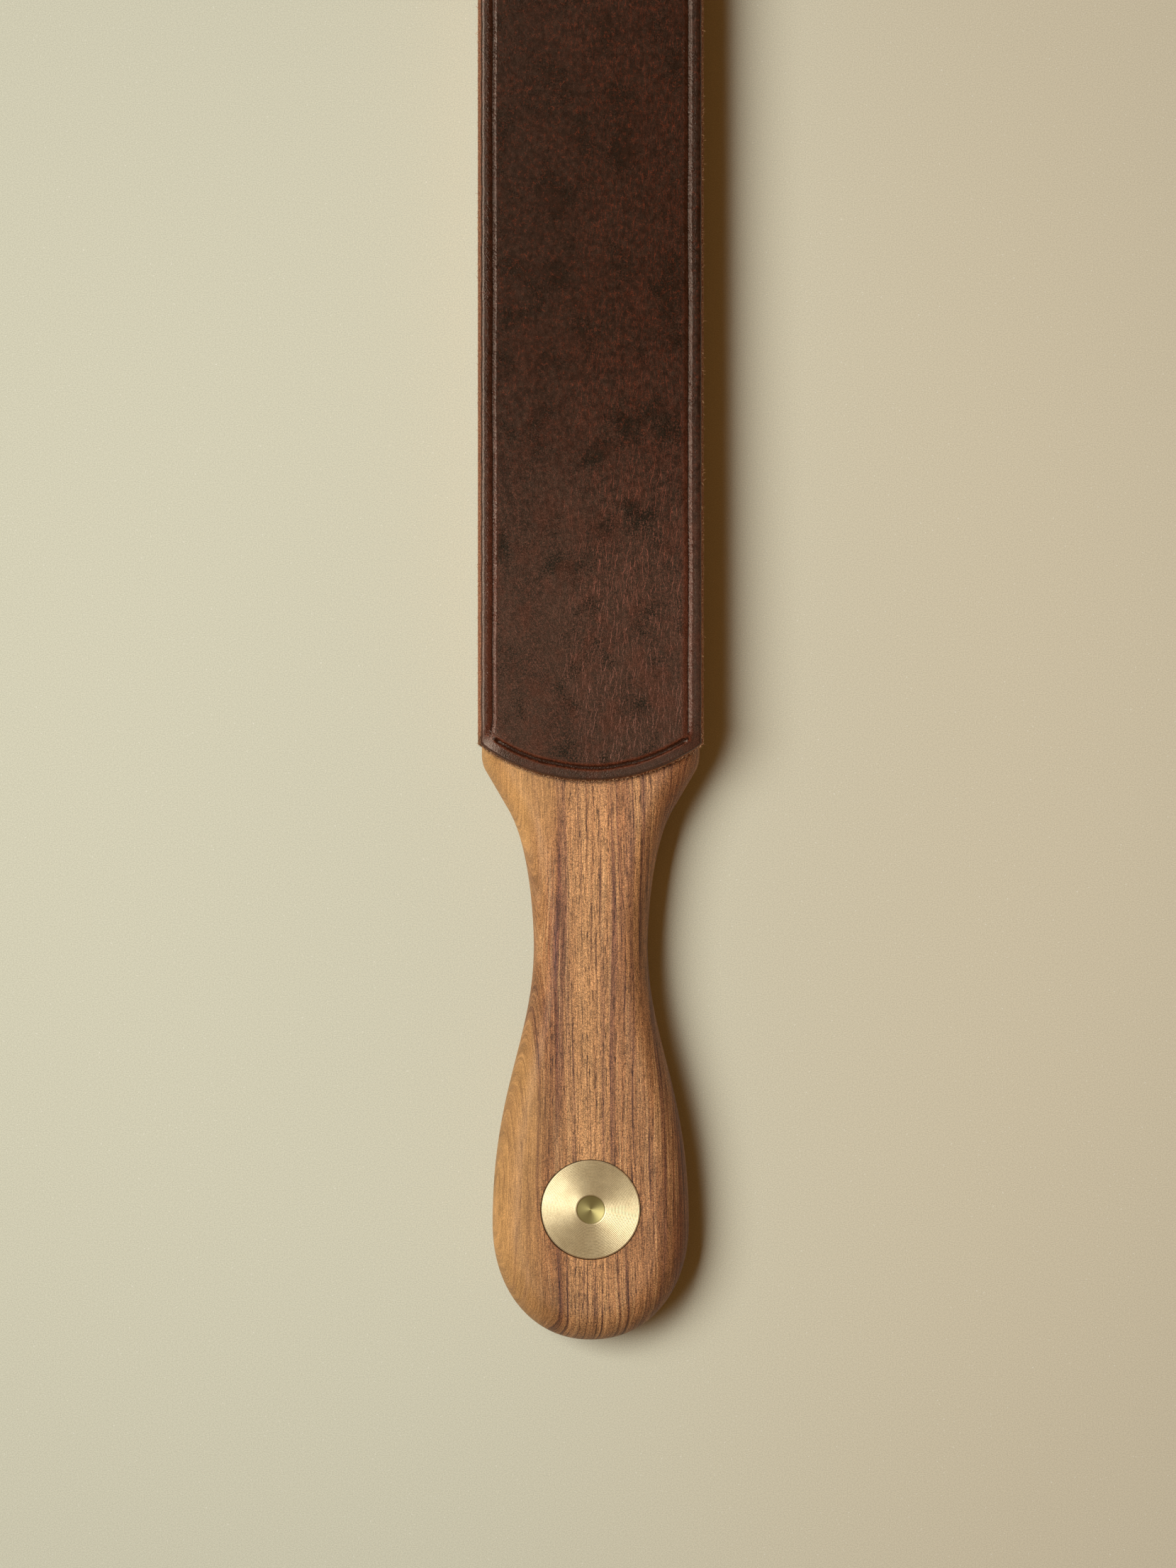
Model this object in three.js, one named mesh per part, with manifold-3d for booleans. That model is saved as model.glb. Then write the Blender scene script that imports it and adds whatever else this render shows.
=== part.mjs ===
// A two-sided leather paddle strop, in millimetres. One piece of walnut is both handle and paddle.
// A leather facing is glued to each side of the paddle: smooth grain on top, suede underneath.
// A turned brass disc is let into the butt of the handle.
//
// +X runs across the paddle, +Y along it from the handle to the free end, and +Z is up.
// The origin is under the middle of the strop, on the plane that it lies on.
import * as THREE from "three";
import { mergeVertices } from "three/addons/utils/BufferGeometryUtils.js";
import Module from "manifold-3d";

const wasm = await Module();
wasm.setup();

// ---- Driving dimensions ----

const LENGTH = 340;
const BUTT_Y = -LENGTH / 2;
const FREE_END_Y = LENGTH / 2;
const FREE_CORNER_RADIUS = 4;

// The stack, from the surface it lies on: suede, glue, walnut, glue, smooth leather.
const LEATHER_THICKNESS = 3;
const GLUE_THICKNESS = 0.25;
const WOOD_THICKNESS = 16;

// Each leather is a little wider than the wood, and ends over the shoulders in a round arc.
const LEATHER_HALF_WIDTH = 25;
const LEATHER_CORNER_Y = BUTT_Y + 132.8;
const LEATHER_ARC_SAG = 8.3;

// The handle in plan. Places along it are measured from the butt.
const PADDLE_HALF_WIDTH = 24.3;
const BULB = { fromButt: 26, halfWidth: 21.9, exponent: 2.12, pull: 30.3 };
const NECK = { fromButt: 88.1, halfWidth: 12.7, pull: 21.1 };
const SHOULDER = {
  neckPull: [12.7, 90.6],
  slopePull: [13.1, 109.2],
  slopeStart: [18.3, 118.2],
  slopeEnd: [23.2, 126.6],
  cornerPull: [24.25, 128.2],
  cornerEnd: [PADDLE_HALF_WIDTH, 130.4],
};
const OUTLINE_STEPS = { butt: 22, waist: 18, shoulder: 12, corner: 6 };

// How far the rounding of the handle's edges reaches in from its outline, seen from above.
const ROUNDING = { bulb: 7, neck: 5.6, paddle: 0.7 };
const ROUNDING_ENDS = { neckLikeUntil: 126, paddleLikeFrom: 134 };
const ROUNDING_BANDS = 14;

// How far the glue's edge stays inside the flat of the paddle.
const GLUE_SETBACK = 0.1;

// The tooled border: a round-bottomed crease inside the edge of the smooth leather.
const CREASE = {
  radius: 0.85,
  depth: 0.45,
  inFromSide: 3.4,
  inFromArc: 3.15,
  inFromFreeEnd: 3.4,
  gapAtCorner: 3.1,
  arcEndGap: 1.2,
  arcPieces: 30,
};

const DISC = { radius: 11, thickness: 3, chamfer: 0.25, recessRadius: 3.2, recessDepth: 0.35 };
const DISC_CLEARANCE = 0.15;
const DISC_Y = BUTT_Y + 29.6;
const DISC_SEGMENTS = 96;

// ---- Heights of the stack ----

const WOOD_BOTTOM_Z = LEATHER_THICKNESS + GLUE_THICKNESS;
const WOOD_TOP_Z = WOOD_BOTTOM_Z + WOOD_THICKNESS;
const SMOOTH_BOTTOM_Z = WOOD_TOP_Z + GLUE_THICKNESS;
const POCKET_DEPTH = DISC.thickness + GLUE_THICKNESS;
const POCKET_FLOOR_Z = WOOD_TOP_Z - POCKET_DEPTH;

// Corners closer together than this are the same corner.
const SAME_CORNER = 1e-4;

// ---- Materials ----

const material = (color, roughness, metalness = 0) =>
  new THREE.MeshStandardMaterial({ color, roughness, metalness });

const walnut = material(0xb07a4a, 0.5);
const smoothLeather = material(0x45291f, 0.45);
const suede = material(0x8a5f3c, 0.95);
const curedGlue = material(0x3a2c20, 0.7);
const turnedBrass = material(0xc9b074, 0.3, 1);

// ---- Loops and closed bodies ----

// A loop is a list of points [x, y], anticlockwise seen from above.
// Each point is moved in by its own distance along the corner's mitre.
function insetLoop(loop, distances) {
  return loop.map(([x, y], i) => {
    const before = loop[(i + loop.length - 1) % loop.length];
    const after = loop[(i + 1) % loop.length];
    const inward = [before, after].map(([px, py], side) => {
      const sign = side === 0 ? 1 : -1;
      const edge = new THREE.Vector2((x - px) * sign, (y - py) * sign).normalize();
      return new THREE.Vector2(-edge.y, edge.x);
    });
    const middle = inward[0].clone().add(inward[1]).normalize();
    const reach = distances[i] / middle.dot(inward[0]);
    return [x + middle.x * reach, y + middle.y * reach];
  });
}

// A closed body from rings of equal length, listed upwards. A ring is a list of points [x, y, z],
// and the first and last rings are flat.
function bodyFromRings(rings) {
  const count = rings[0].length;
  const positions = rings.flat(2);
  const faces = [];
  for (let ring = 0; ring + 1 < rings.length; ring += 1) {
    for (let i = 0; i < count; i += 1) {
      const next = (i + 1) % count;
      const [a, b] = [ring * count + i, ring * count + next];
      const [c, d] = [a + count, b + count];
      faces.push(a, b, d, a, d, c);
    }
  }
  const flat = (ring) => ring.map(([x, y]) => new THREE.Vector2(x, y));
  const top = (rings.length - 1) * count;
  for (const [a, b, c] of THREE.ShapeUtils.triangulateShape(flat(rings[0]), [])) {
    faces.push(c, b, a);
  }
  for (const [a, b, c] of THREE.ShapeUtils.triangulateShape(flat(rings.at(-1)), [])) {
    faces.push(top + a, top + b, top + c);
  }
  const geometry = new THREE.BufferGeometry();
  geometry.setAttribute("position", new THREE.Float32BufferAttribute(positions, 3));
  geometry.setIndex(faces);
  geometry.computeVertexNormals();
  return geometry;
}

// The same body for every point of the loop: each step of the profile is [distance in, height].
function bodyFromProfile(loop, profile) {
  return bodyFromRings(
    profile.map(([inset, z]) => insetLoop(loop, loop.map(() => inset)).map(([x, y]) => [x, y, z])),
  );
}

function toSolid(geometry) {
  const bare = geometry.index ? geometry.toNonIndexed() : geometry.clone();
  bare.deleteAttribute("normal");
  bare.deleteAttribute("uv");
  const merged = mergeVertices(bare, SAME_CORNER);
  return new wasm.Manifold(
    new wasm.Mesh({
      numProp: 3,
      vertProperties: merged.attributes.position.array,
      triVerts: new Uint32Array(merged.index.array),
    }),
  );
}

function toGeometry(solid) {
  const { vertProperties, triVerts } = solid.getMesh();
  const geometry = new THREE.BufferGeometry();
  geometry.setAttribute("position", new THREE.BufferAttribute(vertProperties, 3));
  geometry.setIndex(new THREE.BufferAttribute(triVerts, 1));
  geometry.computeVertexNormals();
  return geometry;
}

// ---- The walnut handle and paddle ----

// Points [half width, distance from the butt] down one side, from the butt to the free end.
function walnutSide() {
  const quarterTurn = Math.PI / 2;
  const points = [];
  for (let i = 1; i <= OUTLINE_STEPS.butt; i += 1) {
    const angle = (quarterTurn * i) / OUTLINE_STEPS.butt;
    const power = 2 / BULB.exponent;
    points.push([
      BULB.halfWidth * Math.sin(angle) ** power,
      BULB.fromButt * (1 - Math.max(Math.cos(angle), 0) ** power),
    ]);
  }
  const curve = (Curve, ...controls) =>
    new Curve(...controls.map(([half, along]) => new THREE.Vector2(half, along)));
  const bulb = [BULB.halfWidth, BULB.fromButt];
  const bulbPull = [BULB.halfWidth, BULB.fromButt + BULB.pull];
  const neck = [NECK.halfWidth, NECK.fromButt];
  const waistPull = [NECK.halfWidth, NECK.fromButt - NECK.pull];
  const { neckPull, slopePull, slopeStart, slopeEnd, cornerPull, cornerEnd } = SHOULDER;
  const waist = curve(THREE.CubicBezierCurve, bulb, bulbPull, waistPull, neck);
  const shoulder = curve(THREE.CubicBezierCurve, neck, neckPull, slopePull, slopeStart);
  const corner = curve(THREE.QuadraticBezierCurve, slopeEnd, cornerPull, cornerEnd);
  const stretches = [
    waist.getPoints(OUTLINE_STEPS.waist).slice(1, -1),
    shoulder.getPoints(OUTLINE_STEPS.shoulder),
    corner.getPoints(OUTLINE_STEPS.corner),
  ];
  return points.concat(stretches.flat().map(({ x, y }) => [x, y]));
}

// A quarter circle of points about a centre, from one angle to the next.
function cornerPoints(centre, radius, fromDegrees) {
  const steps = 5;
  return Array.from({ length: steps + 1 }, (_, i) => {
    const angle = THREE.MathUtils.degToRad(fromDegrees + (90 * i) / steps);
    return [centre[0] + radius * Math.cos(angle), centre[1] + radius * Math.sin(angle)];
  });
}

function freeEndPoints(halfWidth, endY) {
  const [x, y] = [halfWidth - FREE_CORNER_RADIUS, endY - FREE_CORNER_RADIUS];
  return [...cornerPoints([x, y], FREE_CORNER_RADIUS, 0), ...cornerPoints([-x, y], FREE_CORNER_RADIUS, 90)];
}

function walnutLoop() {
  const right = walnutSide().map(([half, along]) => [half, BUTT_Y + along]);
  const left = right.map(([x, y]) => [-x, y]).reverse();
  return [[0, BUTT_Y], ...right, ...freeEndPoints(PADDLE_HALF_WIDTH, FREE_END_Y), ...left];
}

function roundingAt(y) {
  const along = y - BUTT_Y;
  const { smoothstep, lerp } = THREE.MathUtils;
  const toNeck = smoothstep(along, BULB.fromButt, NECK.fromButt);
  const toPaddle = smoothstep(along, ROUNDING_ENDS.neckLikeUntil, ROUNDING_ENDS.paddleLikeFrom);
  return lerp(lerp(ROUNDING.bulb, ROUNDING.neck, toNeck), ROUNDING.paddle, toPaddle);
}

// The edges are half an ellipse in section, wide on the handle and nearly square on the paddle.
function walnutBody() {
  const loop = walnutLoop();
  const halfThickness = WOOD_THICKNESS / 2;
  const rings = Array.from({ length: ROUNDING_BANDS + 1 }, (_, i) => {
    const angle = Math.PI * (i / ROUNDING_BANDS - 0.5);
    const share = 1 - Math.max(Math.cos(angle), 0);
    const ring = insetLoop(loop, loop.map(([, y]) => roundingAt(y) * share));
    return ring.map(([x, y]) => [x, y, halfThickness * (1 + Math.sin(angle))]);
  });
  const pocket = new THREE.CylinderGeometry(
    DISC.radius + DISC_CLEARANCE,
    DISC.radius + DISC_CLEARANCE,
    POCKET_DEPTH * 2,
    DISC_SEGMENTS,
  );
  pocket.rotateX(Math.PI / 2).translate(0, DISC_Y, WOOD_THICKNESS);
  return toGeometry(toSolid(bodyFromRings(rings)).subtract(toSolid(pocket)));
}

// ---- The leathers and their glue ----

const arcRadius = (LEATHER_HALF_WIDTH ** 2 + LEATHER_ARC_SAG ** 2) / (2 * LEATHER_ARC_SAG);
const arcCentreY = LEATHER_CORNER_Y - LEATHER_ARC_SAG + arcRadius;

function leatherLoop() {
  const steps = 28;
  const halfAngle = Math.asin(LEATHER_HALF_WIDTH / arcRadius);
  const arc = Array.from({ length: steps + 1 }, (_, i) => {
    const angle = halfAngle * ((2 * i) / steps - 1);
    return [arcRadius * Math.sin(angle), arcCentreY - arcRadius * Math.cos(angle)];
  });
  return [...arc, ...freeEndPoints(LEATHER_HALF_WIDTH, FREE_END_Y)];
}

// The cut edge leans in a little, and the grain side is rolled over by an edge tool.
const SMOOTH_EDGE = [
  [0.2, 0],
  [0, 0.4],
  [0.15, 1.3],
  [0.55, 2.05],
  [0.75, 2.5],
  [1.1, 2.85],
  [1.6, LEATHER_THICKNESS],
];
const SUEDE_EDGE = [
  [0.45, 0],
  [0.1, 0.3],
  [0, 1.5],
  [0.05, 2.7],
  [0.3, LEATHER_THICKNESS],
];

// A crease with round ends: a straight one is a capsule, lying along Y before it is turned.
const creaseHeight = LEATHER_THICKNESS - CREASE.depth + CREASE.radius;

function straightCrease([x0, y0], [x1, y1]) {
  const length = Math.hypot(x1 - x0, y1 - y0);
  const capsule = new THREE.CapsuleGeometry(CREASE.radius, length, 4, 20);
  capsule.rotateZ(Math.atan2(y1 - y0, x1 - x0) - Math.PI / 2);
  return toSolid(capsule.translate((x0 + x1) / 2, (y0 + y1) / 2, creaseHeight));
}

function arcCrease() {
  const radius = arcRadius - CREASE.inFromArc;
  const halfAngle = Math.asin((LEATHER_HALF_WIDTH - CREASE.inFromSide - CREASE.arcEndGap) / radius);
  const points = Array.from({ length: CREASE.arcPieces + 1 }, (_, i) => {
    const angle = halfAngle * ((2 * i) / CREASE.arcPieces - 1);
    return [radius * Math.sin(angle), arcCentreY - radius * Math.cos(angle)];
  });
  return points.slice(1).map((point, i) => straightCrease(points[i], point));
}

function creases() {
  const sideX = LEATHER_HALF_WIDTH - CREASE.inFromSide;
  const endY = FREE_END_Y - CREASE.inFromFreeEnd;
  const gap = CREASE.gapAtCorner;
  const sides = [-sideX, sideX].map((x) =>
    straightCrease([x, LEATHER_CORNER_Y + gap], [x, endY - gap]),
  );
  return [...sides, ...arcCrease(), straightCrease([gap - sideX, endY], [sideX - gap, endY])];
}

function smoothLeatherBody() {
  const slab = toSolid(bodyFromProfile(leatherLoop(), SMOOTH_EDGE));
  const grooves = creases().reduce((all, one) => all.add(one));
  return toGeometry(slab.subtract(grooves));
}

// The glue stops just inside the wood's outline, so that none shows proud of it.
function glueBody() {
  const edge = LEATHER_HALF_WIDTH - PADDLE_HALF_WIDTH + ROUNDING.paddle + GLUE_SETBACK;
  return bodyFromProfile(leatherLoop(), [
    [edge, 0],
    [edge, GLUE_THICKNESS],
  ]);
}

// ---- The brass disc and its glue ----

// A plain faced disc with a shallow round recess turned in its middle.
function discBody() {
  const { radius, thickness, chamfer, recessRadius, recessDepth } = DISC;
  const profile = [
    [0, 0],
    [radius - chamfer, 0],
    [radius, chamfer],
    [radius, thickness - chamfer],
    [radius - chamfer, thickness],
    [recessRadius, thickness],
    [recessRadius - recessDepth, thickness - recessDepth],
    [0, thickness - recessDepth],
  ].map(([r, z]) => new THREE.Vector2(r, z));
  return new THREE.LatheGeometry(profile, DISC_SEGMENTS).rotateX(Math.PI / 2);
}

function discGlueBody() {
  const glue = new THREE.CylinderGeometry(DISC.radius, DISC.radius, GLUE_THICKNESS, DISC_SEGMENTS);
  return glue.rotateX(Math.PI / 2).translate(0, 0, GLUE_THICKNESS / 2);
}

// ---- The strop ----

const strop = new THREE.Group();

function place(name, geometry, finish, z, y = 0) {
  const mesh = new THREE.Mesh(geometry, finish);
  mesh.name = name;
  mesh.position.set(0, y, z);
  strop.add(mesh);
}

place("walnut_handle_and_paddle", walnutBody(), walnut, WOOD_BOTTOM_Z);
place("smooth_leather", smoothLeatherBody(), smoothLeather, SMOOTH_BOTTOM_Z);
place("smooth_leather_glue", glueBody(), curedGlue, WOOD_TOP_Z);
place("suede_leather", bodyFromProfile(leatherLoop(), SUEDE_EDGE), suede, 0);
place("suede_leather_glue", glueBody(), curedGlue, LEATHER_THICKNESS);
place("brass_disc", discBody(), turnedBrass, POCKET_FLOOR_Z + GLUE_THICKNESS, DISC_Y);
place("brass_disc_glue", discGlueBody(), curedGlue, POCKET_FLOOR_Z, DISC_Y);

export default strop;
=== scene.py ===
"""The looks of a leather paddle strop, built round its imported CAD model. Lengths are in metres."""

import math

import bmesh
import bpy
import numpy as np
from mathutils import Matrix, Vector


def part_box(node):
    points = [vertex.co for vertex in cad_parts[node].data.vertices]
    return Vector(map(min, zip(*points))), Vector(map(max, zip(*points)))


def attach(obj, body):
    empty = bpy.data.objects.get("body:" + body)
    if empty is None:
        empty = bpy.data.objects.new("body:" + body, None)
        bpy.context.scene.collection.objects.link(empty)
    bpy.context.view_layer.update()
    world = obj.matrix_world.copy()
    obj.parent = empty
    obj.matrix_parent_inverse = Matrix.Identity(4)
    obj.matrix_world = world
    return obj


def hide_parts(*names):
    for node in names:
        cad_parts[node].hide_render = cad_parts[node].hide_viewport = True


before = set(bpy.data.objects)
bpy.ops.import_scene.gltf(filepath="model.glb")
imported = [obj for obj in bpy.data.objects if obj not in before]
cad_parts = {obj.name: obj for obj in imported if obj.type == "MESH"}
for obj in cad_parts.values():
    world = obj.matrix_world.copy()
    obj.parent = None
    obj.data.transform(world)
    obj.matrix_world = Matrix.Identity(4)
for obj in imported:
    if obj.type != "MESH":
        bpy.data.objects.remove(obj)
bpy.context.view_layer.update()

MM = 0.001

# ---- Places that come from the frame ----

wood_low, wood_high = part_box("walnut_handle_and_paddle")
smooth_low, smooth_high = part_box("smooth_leather")
suede_low, suede_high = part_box("suede_leather")
disc_low, disc_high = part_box("brass_disc")

BUTT_Y = wood_low.y
FREE_END_Y = wood_high.y
LEATHER_HALF_WIDTH = smooth_high.x
ARC_BOTTOM_Y = smooth_low.y
DISC_X, DISC_Y = (disc_low.x + disc_high.x) / 2, (disc_low.y + disc_high.y) / 2
DISC_RADIUS = (disc_high.x - disc_low.x) / 2

# ---- Driving dimensions ----

FREE_CORNER_RADIUS = 4 * MM
ARC_SAG = 8.3 * MM
ARC_RADIUS = (LEATHER_HALF_WIDTH**2 + ARC_SAG**2) / (2 * ARC_SAG)
ARC_CENTRE_Y = ARC_BOTTOM_Y + ARC_RADIUS
LEATHER_CORNER_Y = ARC_BOTTOM_Y + ARC_SAG

# The handle in plan, in millimetres: half widths, and places measured from the butt.
PADDLE_HALF = wood_high.x / MM
BULB_HALF, BULB_AT, BULB_EXPONENT = 21.9, 26, 2.12
NECK_HALF, NECK_AT = 12.7, 88.1
WAIST = [(BULB_HALF, BULB_AT), (BULB_HALF, BULB_AT + 30.3), (NECK_HALF, NECK_AT - 21.1), (NECK_HALF, NECK_AT)]
SHOULDER = [(NECK_HALF, NECK_AT), (12.7, 90.6), (13.1, 109.2), (18.3, 118.2)]
SHOULDER_CORNER = [(23.2, 126.6), (24.25, 128.2), (PADDLE_HALF, 130.4)]
# How many points each stretch of one side of the outline has.
BUTT_POINTS, WAIST_POINTS, SHOULDER_POINTS, SHOULDER_CORNER_POINTS, FREE_CORNER_POINTS = 60, 70, 40, 16, 12

# How far the rounding of the wood's edges reaches in, and between which places it changes.
BULB_ROUNDING, NECK_ROUNDING, PADDLE_ROUNDING = 7 * MM, 5.6 * MM, 0.7 * MM
BULB_Y, NECK_Y = BUTT_Y + BULB_AT * MM, BUTT_Y + NECK_AT * MM
SHOULDER_START_Y, SHOULDER_END_Y = BUTT_Y + 126 * MM, BUTT_Y + 134 * MM
ROUNDING_BANDS = 36
# The strip of the flat faces that follows the outline, inside the rounding.
FLAT_RIM = 0.4 * MM

# The disc's pocket, with how far its sharp mouth is eased.
POCKET_CLEARANCE, POCKET_DEPTH = 0.15 * MM, 3.25 * MM
POCKET_EASE = 0.08 * MM
POCKET_SIDES = 128

# The disc, with the rings that the lathe tool left on it and the recess in its middle.
DISC_SIDES = 160
DISC_CHAMFER = 0.22 * MM
RING_PITCH, RING_DEPTH, RING_STEPS = 0.32 * MM, 0.022 * MM, 6
# The face of the disc is very slightly crowned: its rim lies this much under its middle.
DISC_CROWN = 0.17 * MM
RECESS_RADIUS, RECESS_DEPTH = 3.2 * MM, 0.35 * MM
# The recess's edge: how wide its lip is and how far it drops, then the hollow at its foot.
RECESS_LIP, RECESS_LIP_DROP = 0.15 * MM, 0.08 * MM
RECESS_WALL_IN, RECESS_FOOT_IN, RECESS_FOOT_HEIGHT = 0.12 * MM, 0.3 * MM, 0.1 * MM

# The tooled border: how far in from the edge its creases run, and how wide and deep they are.
SIDE_CREASE_IN, ARC_CREASE_IN, END_CREASE_IN = 3.4 * MM, 3.15 * MM, 3.4 * MM
SIDE_CREASE_X, END_CREASE_Y = LEATHER_HALF_WIDTH - SIDE_CREASE_IN, FREE_END_Y - END_CREASE_IN
ARC_CREASE_HALF, ARC_CREASE_DEPTH = 0.72 * MM, 0.36 * MM
END_CREASE_HALF, END_CREASE_DEPTH = 1.15 * MM, 0.34 * MM
# The side creases differ: how wide the outer and the inner wall of each one is, and its depth.
LEFT_CREASE_OUTER, LEFT_CREASE_INNER, LEFT_CREASE_DEPTH = 1.3 * MM, 0.72 * MM, 0.26 * MM
RIGHT_CREASE_OUTER, RIGHT_CREASE_INNER, RIGHT_CREASE_DEPTH = 0.8 * MM, 1.0 * MM, 0.22 * MM
# The power that their walls rise by: 1 is a straight V, and a higher number a sharper one with hollow walls.
CREASE_CURVE, RIGHT_CREASE_CURVE = 1.8, 1.4
# The side creases stop this far from the corners, and every crease fades out over its last stretch.
CREASE_CORNER_GAP = 2.5 * MM
CREASE_FADE = 1.1 * MM
# The left crease hooks in by this much over its last stretch before the arc.
CREASE_HOOK, CREASE_HOOK_LENGTH = 0.5 * MM, 3 * MM
# The ends of the arc's crease stop this far short of the side creases.
ARC_CREASE_STOP = 0.3 * MM
# How far the leather droops at its corners over the shoulders.
CORNER_DIP, CORNER_DIP_RADIUS = 0.8 * MM, 6.5 * MM

# How much of the raw cut edge shows from above, and how far the grain takes to roll over to it.
LEFT_RAW, RIGHT_RAW, ARC_RAW = 0.8 * MM, 0.6 * MM, 0.4 * MM
LEFT_ROLL, RIGHT_ROLL, ARC_ROLL = 0.75 * MM, 1.05 * MM, 0.5 * MM
# The grain drops less in the roll on the left: by this share of the drop on the right.
LEFT_ROLL_SHARE = 0.62

# How many millimetres the smooth face lies below its flat at each share of the way in from the outline:
# 0 is the outline, 1 is where the raw cut ends and the grain begins, and 2 is where the face is flat.
SMOOTH_SHARES = [0, 0.12, 0.45, 0.75, 0.93, 1, 1.1, 1.25, 1.5, 1.75, 2]
SMOOTH_DROPS = [2.6, 2.0, 1.45, 0.95, 0.6, 0.42, 0.31, 0.18, 0.065, 0.016, 0]
# The suede face: millimetres in from the outline, and how far it lies below its flat there.
SUEDE_EDGE = [(0, 1.6), (0.04, 0.8), (0.15, 0.35), (0.32, 0.1), (0.7, 0)]
# How far the outline of a leather's glued side lies inside that of its good side.
SMOOTH_GLUED_INSET, SUEDE_GLUED_INSET = 0.2 * MM, 0.3 * MM

# The value of from_crease, in half widths of a crease, where there is no crease near.
FAR_FROM_CREASE = 10

# The loose fibres on the cut edge, in millimetres. Every pair is a least and a most.
FIBRE_SPACING, FIBRE_CHANCE = 0.14, 0.8
# Where on the raw cut a fibre grows, as a share of the cut's width, and which ways it points.
FIBRE_ROOTS = (0.05, 0.8)
FIBRE_OUT, FIBRE_ALONG, FIBRE_UP = (0.2, 1), (-1.4, 1.4), (-0.2, 0.5)
FIBRE_LENGTHS = (0.2, 0.75)
# Those on the sides have this share of the length of those on the arc, and a few are longer than the rest.
SIDE_FIBRE_SHARE = 0.6
LONG_FIBRE_CHANCE, LONG_FIBRE_EXTRA = 0.12, (0.2, 0.5)
FIBRE_BEND, FIBRE_BEND_REACH = 0.35, 0.6
# A fibre's rings of corners: where each lies, as a share of the length, and its radius.
FIBRE_RINGS = [(-0.3, 0.06), (0.35, 0.055), (0.75, 0.035)]
FIBRE_ANGLES = (0, 2.1, 4.2)

# The camera looks straight down. The width of its sensor is in millimetres.
CAMERA_X, CAMERA_Y = -0.6 * MM, -46 * MM
CAMERA_ABOVE_LEATHER = 1.1
VIEW_HEIGHT_AT_LEATHER = 0.3466
SENSOR_WIDTH = 36

# The softbox hangs level, to the left of the strop, and reaches from LIGHT_NEAR to LIGHT_FAR.
LIGHT_HEIGHT = 2.8
LIGHT_AZIMUTH = math.radians(168)
LIGHT_NEAR, LIGHT_FAR = 0.76, 3.0
LIGHT_WIDTH = 1.8
LIGHT_SPREAD = math.radians(115)
LIGHT_WATTS = 79
LIGHT_COLOR = (0.95, 1.0, 0.98)
ROOM_COLOR, ROOM_STRENGTH = (1.0, 0.53, 0.17, 1), 0.153
FLOOR_HALF_SIZE = 6.0

random = np.random.default_rng(7)


# ---- Mesh helpers ----


def smoothstep(value, start, end):
    share = np.clip((value - start) / (end - start), 0, 1)
    return share * share * (3 - 2 * share)


def link_mesh(mesh, sharp_degrees=40):
    """The mesh as an object in the scene, smooth except where its faces meet more sharply than this."""
    mesh.shade_smooth()
    mesh.set_sharp_from_angle(angle=math.radians(sharp_degrees))
    piece = bpy.data.objects.new(mesh.name, mesh)
    bpy.context.scene.collection.objects.link(piece)
    return piece


def make_object(name, corners, faces, sharp_degrees=40):
    mesh = bpy.data.meshes.new(name)
    mesh.from_pydata([tuple(map(float, c)) for c in corners], [], [tuple(map(int, f)) for f in faces])
    return link_mesh(mesh, sharp_degrees)


def finish_piece(piece, material, slot, *nodes):
    """Gives a piece its material, hangs it under the root body, and hides the CAD nodes it takes the place
    of.
    """
    piece.data.materials.append(material)
    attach(piece, "root")
    if nodes:
        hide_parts(*nodes)


def point_values(piece, name, values):
    attribute = piece.data.attributes.new(name, "FLOAT", "POINT")
    attribute.data.foreach_set("value", np.asarray(values, np.float32))


def bands_between(first, second, count):
    """The faces of a closed band between two rings of corners, given by their first corners' numbers."""
    steps = np.arange(count)
    after = (steps + 1) % count
    return np.stack([first + steps, first + after, second + after, second + steps], axis=1).tolist()


def inset(loop, distances):
    """An anticlockwise loop of [x, y], each point moved in by its own distance."""
    before, after = np.roll(loop, 1, axis=0), np.roll(loop, -1, axis=0)

    def left_of(edge):
        edge = edge / np.linalg.norm(edge, axis=1, keepdims=True)
        return np.stack([-edge[:, 1], edge[:, 0]], axis=1)

    first = left_of(loop - before)
    middle = first + left_of(after - loop)
    middle /= np.linalg.norm(middle, axis=1, keepdims=True)
    reach = distances / np.sum(middle * first, axis=1)
    return loop + middle * reach[:, None]


def at_height(loop, z):
    return np.column_stack([loop, np.full(len(loop), z)])


def unit_circle(sides):
    angles = np.linspace(0, 2 * math.pi, sides, endpoint=False)
    return np.column_stack([np.cos(angles), np.sin(angles)])


def smooth_through(points, steps):
    """A Catmull-Rom curve through the points."""
    padded = np.vstack([2 * points[0] - points[1], points, 2 * points[-1] - points[-2]])
    before, start, end, after = padded[:-3], padded[1:-2], padded[2:-1], padded[3:]
    shares = np.linspace(0, 1, steps, endpoint=False)
    stretches = [
        0.5
        * (
            2 * start
            + (end - before) * t
            + (2 * before - 5 * start + 4 * end - after) * t**2
            + (3 * start - before - 3 * end + after) * t**3
        )
        for t in shares
    ]
    curve = np.stack(stretches, axis=1).reshape(-1, points.shape[1])
    return np.vstack([curve, points[-1:]])


# ---- The walnut ----


def bezier(controls, count):
    """Points along the Bezier curve of these control points."""
    shares = np.linspace(0, 1, count)[:, None]
    level = [np.array(control, float) for control in controls]
    while len(level) > 1:
        level = [start + (end - start) * shares for start, end in zip(level, level[1:])]
    return level[0]


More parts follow.
